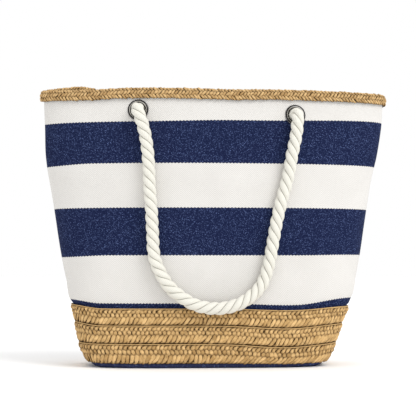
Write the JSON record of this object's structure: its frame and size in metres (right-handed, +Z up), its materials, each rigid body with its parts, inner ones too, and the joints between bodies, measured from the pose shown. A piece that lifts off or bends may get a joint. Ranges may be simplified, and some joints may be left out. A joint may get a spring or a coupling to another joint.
{
  "type": "beach bag",
  "caption": "Open canvas beach bag with navy stripes, a braided straw foot and rim, and two hanging rope handles run through metal eyelets.",
  "frame": {"origin": "on the floor, under the middle of the bag's base", "axes": "+X along the bag's width, to the right of someone facing its front; the front faces -Y; +Z up"},
  "size_m": [0.4838, 0.2046, 0.377],
  "materials": {
    "striped_canvas": "matt cotton twill with navy stripes",
    "navy_canvas": "matt cotton canvas",
    "straw_braid": "braided paper straw, matt",
    "rim_straw": "fine herringbone straw braid, matt",
    "lining_cloth": "plain woven cotton",
    "fibreboard": "plain pressed board",
    "nickel": "dark nickel plate, polished",
    "cotton_rope": "three-strand cotton rope, matt"
  },
  "bodies": {
    "bag": {"front_canvas_panel": "striped_canvas", "back_canvas_panel": "striped_canvas", "front_lining_panel": "lining_cloth", "back_lining_panel": "lining_cloth", "base_canvas": "navy_canvas", "base_board": "fibreboard", "base_lining": "lining_cloth", "straw_braid_lower": "straw_braid", "straw_braid_middle": "straw_braid", "straw_braid_upper": "straw_braid", "rim_braid": "rim_straw", "inside_pocket": "lining_cloth", "snap_socket": "nickel", "snap_stud": "nickel", "eyelet_front_left": "nickel", "eyelet_washer_front_left": "nickel", "rope_through_front_left": "cotton_rope", "rope_knot_front_left": "cotton_rope", "eyelet_front_right": "nickel", "eyelet_washer_front_right": "nickel", "rope_through_front_right": "cotton_rope", "rope_knot_front_right": "cotton_rope", "eyelet_back_left": "nickel", "eyelet_washer_back_left": "nickel", "rope_through_back_left": "cotton_rope", "rope_knot_back_left": "cotton_rope", "eyelet_back_right": "nickel", "eyelet_washer_back_right": "nickel", "rope_through_back_right": "cotton_rope", "rope_knot_back_right": "cotton_rope"},
    "front_handle": {"rope_handle_front": "cotton_rope"},
    "back_handle": {"rope_handle_back": "cotton_rope"}
  },
  "joints": [
    {"name": "front_handle_swing", "type": "hinge", "parent": "bag", "child": "front_handle", "pos_m": [0, -0.07394, 0.34626], "axis": [-0.9997, 0.0003, 0.0254], "range_deg": [0, 165]},
    {"name": "back_handle_swing", "type": "hinge", "parent": "bag", "child": "back_handle", "pos_m": [0, 0.07394, 0.34626], "axis": [0.9997, -0.0003, 0.0254], "range_deg": [0, 165]}
  ]
}
